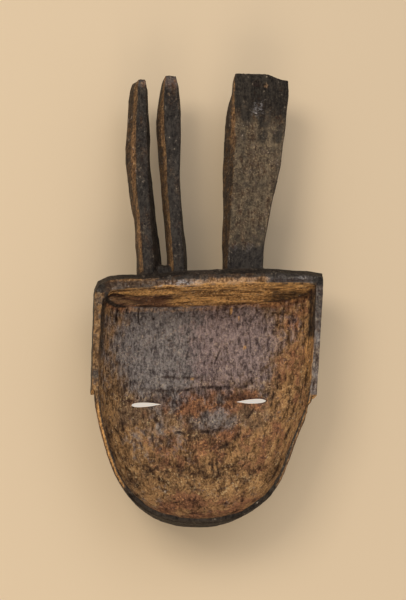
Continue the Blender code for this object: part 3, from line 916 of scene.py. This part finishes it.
@dataclass
class Horns:
    """The three horns: two narrow ones on the left and a broad one on the right."""

    root: float = 15.0
    nicks: tuple[Nick, ...] = (
        Nick((43.4, 187.55, 57.2), 5.0, 1.9),
        Nick((51.4, 185.95, 57.2), 4.0, 1.0, 0.7),
        Nick((72.0, 159.7, 56.0), 3.5, 1.3, 0.5),
        Nick((-57.5, 183.7, 55.5), 4.0, 0.7, 0.3),
        Nick((-34.0, 175.2, 57.0), 4.0, 0.5, 0.3),
        Nick((-78.5, 127.2, 44.0), 5.0, 0.9, 0.2),
    )
    worn_flat: Oval = Oval((-31.0, 170.0), (9.0, 14.0), 0.28)
    # Painted sheen on the broad horn's back, laid in the rubbed coat.
    scuffs: Oval = Oval((36.0, 160.0), (9.0, 12.0), 0.55)

    def where(self, skin: Skin) -> Array:
        """1 on the horns."""
        return ease(self.root - 3.0, self.root + 1.0, skin.v)

    def broad(self, skin: Skin) -> Array:
        """1 on the broad horn."""
        return self.where(skin) * ease(2.0, 6.0, skin.points[:, 0])

    def carve(self, skin: Skin) -> None:
        """Cuts the long facets, the crust on the broad horn's back and the nicks."""
        horns, broad = self.where(skin), self.broad(skin)
        wave = skin.noise(91, (11.0, 24.0, 11.0), 2)
        cuts = Chance(93).scoops(skin.u + skin.z, skin.v, (10.0, 22.0))
        skin.carve(0.50 * wave + 0.42 * cuts, horns)
        skin.carve(0.20 * skin.noise(95, (2.0, 15.0, 2.0), 2), horns)
        crusted = broad * ease(50.0, 56.0, skin.z) * ease(26.0, 48.0, skin.v)
        skin.carve(0.30 * skin.noise(97, (3.2, 3.2, 5.0)), crusted)
        skin.dent(self.nicks)

    def dress(self, skin: Skin) -> None:
        """Darkens the horns: grey backs with a painted sheen, left sides in painted light with a painted
        highlight on the arris, right sides in painted shade.
        """
        u, v = skin.u, skin.v
        horns, broad = self.where(skin), self.broad(skin)
        cloud = skin.noise(99, (8.0, 15.0, 8.0))
        fibres = skin.noise(98, (2.4, 17.0, 2.4))
        blotch = skin.noise(96, (4.5, 6.0, 4.5))
        # Faces turned to the left take painted light, brown with a painted golden highlight along the arris;
        # the rest of the sides keep painted shade, black.
        left = ease(0.20, 0.50, -skin.normals[:, 0])
        up = ease(0.60, 0.85, skin.normals[:, 2])
        tip = ease(174.0, 181.0, v + 0.06 * u)
        low = ease(44.0, 24.0, v)
        arris = left * ease(49.5, 53.5, skin.z) * (1 - broad * ease(150.0, 120.0, v))
        sides = 0.97 - 0.26 * left - 0.26 * arris + 0.25 * cloud
        narrow_backs = 0.84 + 0.25 * cloud - 0.30 * tip
        broad_back = 0.32 + 0.50 * low + 0.30 * ease(-0.3, 0.9, cloud + 0.8 * blotch)
        backs = np.where(broad > 0.5, broad_back, narrow_backs)
        skin.lay(
            horns,
            tone=0.5 + 0.18 * cloud + 0.20 * fibres + 0.12 * blotch,
            soot=sides * (1 - up) + backs * up,
            gold=0.18 * arris * np.clip(0.65 + 1.1 * cloud, 0.0, 1.0),
        )
        # Painted light on the left sides.
        skin.lay(horns * (1 - up) * left, ochre=0.85 + 0.4 * cloud, rust=0.35)
        skin.lay(
            (horns - broad) * up,
            bloom=0.70 + 0.4 * cloud,
            ochre=0.9 * tip,
            rust=0.7 * tip,
            worn=self.worn_flat.strength(skin),
        )
        darker = 0.52 * ease(140.0, 170.0, v + 0.40 * (u - 20.0) + 14.0 * cloud)
        skin.lay(
            broad * up,
            bloom=0.9 * low + 0.25 + 0.4 * fibres,
            crust=(1 - low) * (0.85 + 0.4 * cloud + 0.3 * blotch),
            ochre=(1 - low) * (0.45 + 0.6 * blotch),
            soot=darker + 0.60 * ease(184.0, 188.0, v + 0.05 * u),
            rubbed=self.scuffs.strength(skin),
        )
        for nick in self.nicks:
            skin.coat("worn", nick.bare * nick.strength(skin))
        skin.coat("crack", 0.9 * self.nicks[0].strength(skin))


class Signal:
    """A socket in a material whose values add up with Python's own signs."""

    def __init__(self, bench: Bench, socket: bpy.types.NodeSocket) -> None:
        """Keeps the socket and the bench it is on."""
        self.bench = bench
        self.socket = socket

    def _sum(self, operation: str, first: Any, second: Any, clamp: bool = False) -> Signal:
        """Adds one Math node."""
        settings = {"operation": operation, "use_clamp": clamp}
        return self.bench.made("ShaderNodeMath", settings, {0: first, 1: second})

    def __add__(self, other: Any) -> Signal:
        """This plus another."""
        return self._sum("ADD", self, other)

    def __sub__(self, other: Any) -> Signal:
        """This less another."""
        return self._sum("SUBTRACT", self, other)

    def __rsub__(self, other: Any) -> Signal:
        """Another less this."""
        return self._sum("SUBTRACT", other, self)

    def __mul__(self, other: Any) -> Signal:
        """This times another."""
        return self._sum("MULTIPLY", self, other)

    __radd__ = __add__
    __rmul__ = __mul__

    def clamped(self) -> Signal:
        """This, kept between 0 and 1."""
        return self._sum("ADD", self, 0.0, True)


@dataclass(frozen=True)
class Noise:
    """A noise texture: how large its features are, in metres, and of what kind."""

    size: float
    detail: float
    rough: float
    twist: float = 0.0
    squeeze: Point = (1.0, 1.0, 1.0)


class Bench:
    """The nodes of one material."""

    def __init__(self, name: str) -> None:
        """Starts a material with its shader and output."""
        self.material = bpy.data.materials.new(name)
        self.material.use_nodes = True
        self.tree = self.material.node_tree
        self.shader = self.tree.nodes["Principled BSDF"]

    def node(self, kind: str, settings: dict[str, Any] | None = None,
             sockets: dict[str | int, Any] | None = None) -> bpy.types.Node:
        """Adds a node.

        Args:
            kind: the node's type.
            settings: its own settings.
            sockets: values or signals for its inputs, by name or number.

        Returns:
            The node.
        """
        new = self.tree.nodes.new(kind)
        for name, value in (settings or {}).items():
            setattr(new, name, value)
        for name, value in (sockets or {}).items():
            self.feed(new.inputs[name], value)
        return new

    def made(self, kind: str, settings: dict[str, Any], sockets: dict[str | int, Any],
             output: str | int = 0) -> Signal:
        """Adds a node and gives one of its outputs."""
        return Signal(self, self.node(kind, settings, sockets).outputs[output])

    def feed(self, socket: bpy.types.NodeSocket, value: Any) -> None:
        """Gives a socket a value, or a link when the value is a signal."""
        if isinstance(value, Signal):
            self.tree.links.new(value.socket, socket)
        else:
            socket.default_value = value

    def finish(self, looks: dict[str, Any]) -> bpy.types.Material:
        """Feeds the shader, a value or signal for each input, and gives the material."""
        for name, value in looks.items():
            self.feed(self.shader.inputs[name], value)
        return self.material

    def place(self) -> Signal:
        """The place on the object."""
        return self.made("ShaderNodeTexCoord", {}, {}, "Object")

    def coat(self, name: str) -> Signal:
        """A coat that the parts laid on the skin."""
        return self.made("ShaderNodeAttribute", {"attribute_name": name}, {}, "Fac")

    def stretched(self, place: Signal, scale: Point) -> Signal:
        """A place squeezed along each axis, for marks longer one way."""
        return self.made("ShaderNodeVectorMath", {"operation": "MULTIPLY"}, {0: place, 1: scale})

    def noise(self, place: Signal, noise: Noise) -> Signal:
        """One of the finish's noises."""
        if noise.squeeze != Noise.squeeze:
            place = self.stretched(place, noise.squeeze)
        sockets = {"Vector": place, "Scale": 1.0 / noise.size, "Detail": noise.detail}
        sockets.update({"Roughness": noise.rough, "Distortion": noise.twist})
        return self.made("ShaderNodeTexNoise", {}, sockets, "Fac")

    def ramp(self, value: Signal, low: float, high: float) -> Signal:
        """A soft step from 0 at low to 1 at high."""
        sockets = {"Value": value, "From Min": low, "From Max": high}
        return self.made("ShaderNodeMapRange", {"interpolation_type": "SMOOTHSTEP"}, sockets)

    def blend(self, share: Signal | float, under: Signal | Colour, over: Signal | Colour,
              way: str = "MIX") -> Signal:
        """Mixes two colours."""
        settings = {"data_type": "RGBA", "blend_type": way, "clamp_factor": True}
        return self.made("ShaderNodeMix", settings, {0: share, 6: under, 7: over}, 2)


@dataclass(frozen=True)
class OldWood:
    """Dark old wood: smoke, grey bloom with a painted sheen, red and ochre wood showing through, worn edges,
    painted light and painted shade.
    """

    umber: Colour = (0.150, 0.092, 0.054, 1.0)
    ochre: Colour = (0.300, 0.170, 0.074, 1.0)
    gold: Colour = (0.500, 0.275, 0.100, 1.0)
    rust: Colour = (0.200, 0.094, 0.050, 1.0)
    bloom: Colour = (0.178, 0.168, 0.174, 1.0)
    lilac: Colour = (0.216, 0.168, 0.174, 1.0)
    crust: Colour = (0.140, 0.106, 0.070, 1.0)
    soot: Colour = (0.022, 0.018, 0.015, 1.0)
    rubbed: Colour = (0.320, 0.310, 0.330, 1.0)
    worn: Colour = (0.430, 0.260, 0.140, 1.0)
    crack: Colour = (0.022, 0.011, 0.009, 1.0)
    plum: Colour = (0.052, 0.024, 0.020, 1.0)
    clay: Colour = (0.500, 0.460, 0.390, 1.0)
    khaki: Colour = (0.420, 0.330, 0.190, 1.0)
    orange: Colour = (0.430, 0.215, 0.085, 1.0)
    darker: Colour = (0.34, 0.29, 0.28, 1.0)
    lighter: Colour = (1.88, 1.82, 1.68, 1.0)
    mottle: Noise = Noise(0.0080, 6.0, 0.62)
    spots: Noise = Noise(0.0036, 5.0, 0.62)
    fibre: Noise = Noise(0.0019, 3.0, 0.60, 0.5, (1.0, 0.30, 1.0))
    speck: Noise = Noise(0.0019, 2.0, 0.50)
    flake: Noise = Noise(0.0030, 4.0, 0.62, 1.6)
    sheen: Noise = Noise(0.0014, 3.0, 0.55, 0.0, (0.4, 1.0, 1.0))
    dull: float = 0.70
    gleam: float = 0.15
    bump: float = 0.95
    bump_height: float = 0.0020

    def material(self) -> bpy.types.Material:
        """Builds the finish.

        Returns:
            The material.
        """
        bench = Bench("old_wood")
        coat, ramp, blend = bench.coat, bench.ramp, bench.blend
        place = bench.place()
        noises = (self.mottle, self.spots, self.fibre, self.speck, self.flake, self.sheen)
        mottle, spots, fibre, speck, flake, sheen = (bench.noise(place, noise) for noise in noises)
        uneven = mottle - 0.5 + (spots - 0.5) * 1.5 + (fibre - 0.5) * 1.1

        def shown(name: str) -> Signal:
            """A coat with its edges broken up by the mottle."""
            return ramp(coat(name) + uneven * 0.70, 0.16, 0.84)

        clean = (1 - coat("soot") * 1.15).clamped()
        dark_spots = ramp(spots + (mottle - 0.5) * 0.6, 0.55, 0.63) * clean
        pale_flakes = ramp(flake + (speck - 0.5) * 0.5, 0.55, 0.66) * clean
        sparse = (1 - coat("bloom") * 0.75) * ramp(mottle, 0.36, 0.60)
        calm = 1 - coat("crust") * 0.55
        off_line = flake - 0.5
        wrinkle = (1 - ramp(off_line * off_line, 0.0, 0.0011)) * ramp(spots, 0.46, 0.58) * clean
        layers = (
            # Ochre wood, and the painted warm light on the bowl's lower sides and the horns' left sides.
            (shown("ochre"), self.ochre),
            # Red wood, also in the painted light of the rim's side edges and the horns' left sides.
            (shown("rust"), self.rust),
            # Grey bloom, partly grey patina and partly a painted sheen of reflected sky light, with a lilac
            # tint.
            (shown("bloom") * 0.85, blend(shown("lilac"), self.bloom, self.lilac)),
            (shown("crust"), self.crust),
            # Gold wood, and the painted light of the rim's side edges, the boards' feet, the right wall and
            # the horns' arrises.
            (shown("gold") * coat("gold"), self.gold),
            # Smoke black, and the black of painted shade on the left wall and the horns' right sides.
            (shown("soot") * 0.95, self.soot),
            (dark_spots * (0.66 - coat("bloom") * 0.3), self.plum),
            (pale_flakes * sparse * calm * 0.60, blend(shown("rust"), self.khaki, self.orange)),
            # Painted sheen: bluish-white highlight flecks where the wood is rubbed glossy.
            (shown("rubbed") * ramp(sheen, 0.42, 0.64) * 0.70, self.rubbed),
            (shown("worn") * 0.75, self.worn),
            (wrinkle * 0.55, self.crack),
            # Cracks, and the painted shade of ledges, the crease, low places and the eye slits' inner ends.
            (coat("crack") * 0.85, self.crack),
            (shown("clay") * 0.9, self.clay),
        )
        colour = self.umber
        for share, over in layers:
            colour = blend(share, colour, over)
        grit = uneven * 0.55 + (fibre - 0.5) * 1.1 + (speck - 0.5) * 0.75 + (flake - 0.5) * 1.1
        tone = blend(ramp(coat("tone") + grit, 0.0, 1.0), self.darker, self.lighter)
        rough = self.dull - coat("bloom") * 0.12 - coat("soot") * 0.12 - coat("rubbed") * 0.2
        height = mottle * 0.4 + fibre * 0.45 + spots * 0.6 + speck * 0.4 + flake * 0.5
        bump = {"Strength": self.bump, "Distance": self.bump_height, "Height": height}
        looks = {
            "Base Color": blend(1.0, colour, tone, "MULTIPLY"),
            "Roughness": (rough + (mottle - 0.5) * 0.4).clamped(),
            "Specular IOR Level": self.gleam,
            "Normal": bench.made("ShaderNodeBump", {}, bump),
        }
        return bench.finish(looks)


@dataclass(frozen=True)
class PaleFloor:
    """The plain pale floor."""

    colour: Colour = (0.77, 0.600, 0.405, 1.0)
    under_glow: Colour = (0.60, 0.56, 0.51, 1.0)
    eyes: tuple[Pair, ...] = ((-0.0478, -0.0893), (0.0438, -0.0850))
    eye_reach: float = 0.026
    eye_core: float = 0.75
    squash: float = 2.0
    dull: float = 0.9

    def material(self) -> bpy.types.Material:
        """Builds the floor's finish, which glows under the eyes so that it shows through them.

        Returns:
            The material.
        """
        bench = Bench("pale_floor")
        place = bench.stretched(bench.place(), (1.0, self.squash, 1.0))
        off = 1.0
        for across, along in self.eyes:
            places = {0: place, 1: (across, along * self.squash, 0.0)}
            away = bench.made("ShaderNodeVectorMath", {"operation": "DISTANCE"}, places, "Value")
            off = bench.ramp(away, self.eye_core * self.eye_reach, self.eye_reach) * off
        looks = {
            "Base Color": self.colour,
            "Roughness": self.dull,
            "Emission Color": bench.blend(off, self.under_glow, BLACK),
            "Emission Strength": 1.0,
        }
        return bench.finish(looks)


class Grade(Enum):
    """How finely the skin is cut: its cell in metres and the most triangles it may keep."""

    TRIAL = (0.00155, 400000)
    FINAL = (0.00085, 196000)


@dataclass
class Mask:
    """The whole mask, one carved piece of wood."""

    name: str = "carved_mask"
    grade: Grade = Grade.FINAL
    grid: CarversGrid = field(default_factory=CarversGrid)
    hollow: Hollow = field(default_factory=Hollow)
    rim: Rim = field(default_factory=Rim)
    outside: Outside = field(default_factory=Outside)
    horns: Horns = field(default_factory=Horns)
    finish: OldWood = field(default_factory=OldWood)
    rounding: float = 0.6
    rounding_turns: int = 3
    ridge_rounding: float = 0.012
    wear: Pair = (0.07, 0.28)
    # How far below its neighbours a place starts and ends its painted shade, in millimetres.
    grime: Pair = (-0.05, -0.24)

    def blank(self, node: bpy.types.Object) -> bpy.types.Object:
        """Cuts the node's shape anew in small even cells.

        Args:
            node: the CAD node.

        Returns:
            A new object.
        """
        piece = add(self.name, node.data.copy())
        piece.data.materials.clear()
        rework(piece, "REMESH", mode="VOXEL", voxel_size=self.grade.value[0])
        return piece

    def skin(self, piece: bpy.types.Object) -> Skin:
        """Reads the piece's surface, in millimetres."""
        mesh = piece.data
        points = rows_of(mesh.vertices, "co", 3) * PER_METRE
        edges = rows_of(mesh.edges, "vertices", 2, np.int32)
        normals = rows_of(mesh.vertex_normals, "vector", 3, np.float32).astype(float)
        return Skin(points, edges, normals, self.grid)

    @staticmethod
    def write(piece: bpy.types.Object, points: Array) -> None:
        """Puts points in millimetres back into the piece."""
        piece.data.vertices.foreach_set("co", (points / PER_METRE).ravel())
        piece.data.update()

    def shape(self, piece: bpy.types.Object) -> None:
        """Rounds the edges and carves the relief of every part."""
        cell, most = self.grade.value
        skin = self.skin(piece)
        skin.rub(self.rounding * (1 - self.hollow.slits.near(skin)), self.rounding_turns)
        skin.rub(self.rim.ridge(skin), round(self.ridge_rounding / cell))
        self.write(piece, skin.points)
        skin = self.skin(piece)
        self.hollow.carve(skin)
        self.rim.carve(skin)
        self.outside.carve(skin, self.hollow)
        self.horns.carve(skin)
        carved = skin.points + skin.normals * skin.lift[:, None]
        carved[:, 2] = np.maximum(carved[:, 2], 0.0)
        self.write(piece, carved)
        self.hollow.slits.cut(piece, self.grid)
        faces = sum(len(face.vertices) - 2 for face in piece.data.polygons)
        if faces > most:
            rework(piece, "DECIMATE", ratio=most / faces)

    def dress(self, piece: bpy.types.Object) -> None:
        """Lays every coat on the finished shape and gives it the finish."""
        skin = self.skin(piece)
        self.hollow.dress(skin)
        self.rim.dress(skin, self.hollow)
        self.outside.dress(skin, self.hollow)
        self.horns.dress(skin)
        proud = skin.bareness()
        for _ in range(2):
            proud = 0.5 * proud + 0.5 * skin.neighbours_mean(proud)
        broken = np.clip(0.6 + 0.6 * skin.noise(11, 7.0), 0.0, 1.0)
        clean = 1 - 0.8 * skin.coats["soot"]
        skin.coat("worn", 0.60 * clean * ease(*self.wear, proud) * broken)
        # Painted shade in concave places.
        skin.coat("crack", 0.7 * ease(*self.grime, proud))
        mesh = piece.data
        for name, values in skin.coats.items():
            layer = mesh.attributes.new(name, "FLOAT", "POINT")
            layer.data.foreach_set("value", values.astype(np.float32))
        mesh.materials.clear()
        mesh.materials.append(self.finish.material())
        mesh.polygons.foreach_set("material_index", np.zeros(len(mesh.polygons), np.int32))
        mesh.shade_smooth()

    def build(self, node: bpy.types.Object) -> bpy.types.Object:
        """Makes the piece that stands for the CAD node.

        Args:
            node: the CAD node.

        Returns:
            The finished piece.
        """
        piece = self.blank(node)
        self.shape(piece)
        self.dress(piece)
        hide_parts(NODE)
        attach(piece, "root")
        return piece


@dataclass
class Viewpoint:
    """The camera, at the photograph's angle."""

    look: Point = (-0.006106, -0.01145, 0.072)
    left: float = math.radians(6.0)
    down: float = math.radians(12.0)
    distance: float = 1.11333
    lens: float = 80.0
    sensor: float = 36.0

    def build(self) -> bpy.types.Object:
        """Places the camera.

        Returns:
            The camera.
        """
        data = bpy.data.cameras.new("viewpoint")
        data.lens = self.lens
        data.sensor_width = self.sensor
        camera = add("viewpoint", data)
        back = Vector((-math.sin(self.left), -math.sin(self.down), 0.0))
        back.z = math.sqrt(1 - back.x**2 - back.y**2)
        up = (Vector((0.0, 1.0, 0.0)) - back.y * back).normalized()
        right = up.cross(back)
        spot = Vector(self.look) + self.distance * back
        camera.matrix_world = Matrix.Translation(spot) @ Matrix((right, up, back)).transposed().to_4x4()
        bpy.context.scene.camera = camera
        return camera


@dataclass(frozen=True)
class Lamp:
    """One square soft light that looks at the mask."""

    name: str
    place: Point
    size: float
    power: float
    colour: Point
    target: Point = (0.0, 0.0, 0.03)

    def build(self) -> bpy.types.Object:
        """Hangs the lamp.

        Returns:
            The light.
        """
        data = bpy.data.lights.new(self.name, "AREA")
        data.shape = "SQUARE"
        data.size = self.size
        data.energy = self.power
        data.color = self.colour
        lamp = add(self.name, data)
        aim = Vector(self.target) - Vector(self.place)
        lamp.location = self.place
        lamp.rotation_euler = aim.to_track_quat("-Z", "Y").to_euler()
        return lamp


@dataclass
class Studio:
    """A pale floor under plain soft light from the upper left."""

    reach: float = 3.0
    sky: Colour = (1.0, 0.97, 0.93, 1.0)
    sky_strength: float = 0.46
    floor: PaleFloor = field(default_factory=PaleFloor)
    lamps: tuple[Lamp, ...] = (
        Lamp("key_light", (-0.80, 0.50, 1.50), 0.75, 10.0, (1.0, 0.94, 0.84)),
        Lamp("sky_light", (0.35, 0.75, 1.60), 1.10, 4.6, (0.84, 0.90, 1.0)),
        Lamp("near_light", (-0.10, -1.40, 1.10), 0.90, 8.0, (1.0, 0.90, 0.76)),
    )

    def build(self) -> bpy.types.Object:
        """Lays the floor and hangs the lamps.

        Returns:
            The floor.
        """
        mesh = bpy.data.meshes.new("floor")
        half = self.reach
        corners = [(-half, -half, 0), (half, -half, 0), (half, half, 0), (-half, half, 0)]
        mesh.from_pydata(corners, [], [(0, 1, 2, 3)])
        mesh.materials.append(self.floor.material())
        floor = add("floor", mesh)
        world = bpy.data.worlds.new("soft_sky")
        bpy.context.scene.world = world
        world.use_nodes = True
        background = world.node_tree.nodes["Background"]
        background.inputs["Color"].default_value = self.sky
        background.inputs["Strength"].default_value = self.sky_strength
        for lamp in self.lamps:
            lamp.build()
        bpy.context.scene.view_settings.view_transform = "Standard"
        return floor


def report(piece: bpy.types.Object) -> None:
    """Logs what a piece is made of."""
    count = len(piece.data.polygons) if piece.type == "MESH" else 0
    log.info("%s: %d faces", piece.name, count)


def main() -> None:
    """Builds the camera, the studio and the mask, in that order."""
    logging.basicConfig(level=logging.INFO, format="%(message)s")
    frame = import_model()
    report(Viewpoint().build())
    report(Studio().build())
    grade = Grade.FINAL
    report(Mask(grade=grade).build(frame["nodes"][NODE]))


if __name__ == "__main__":
    main()
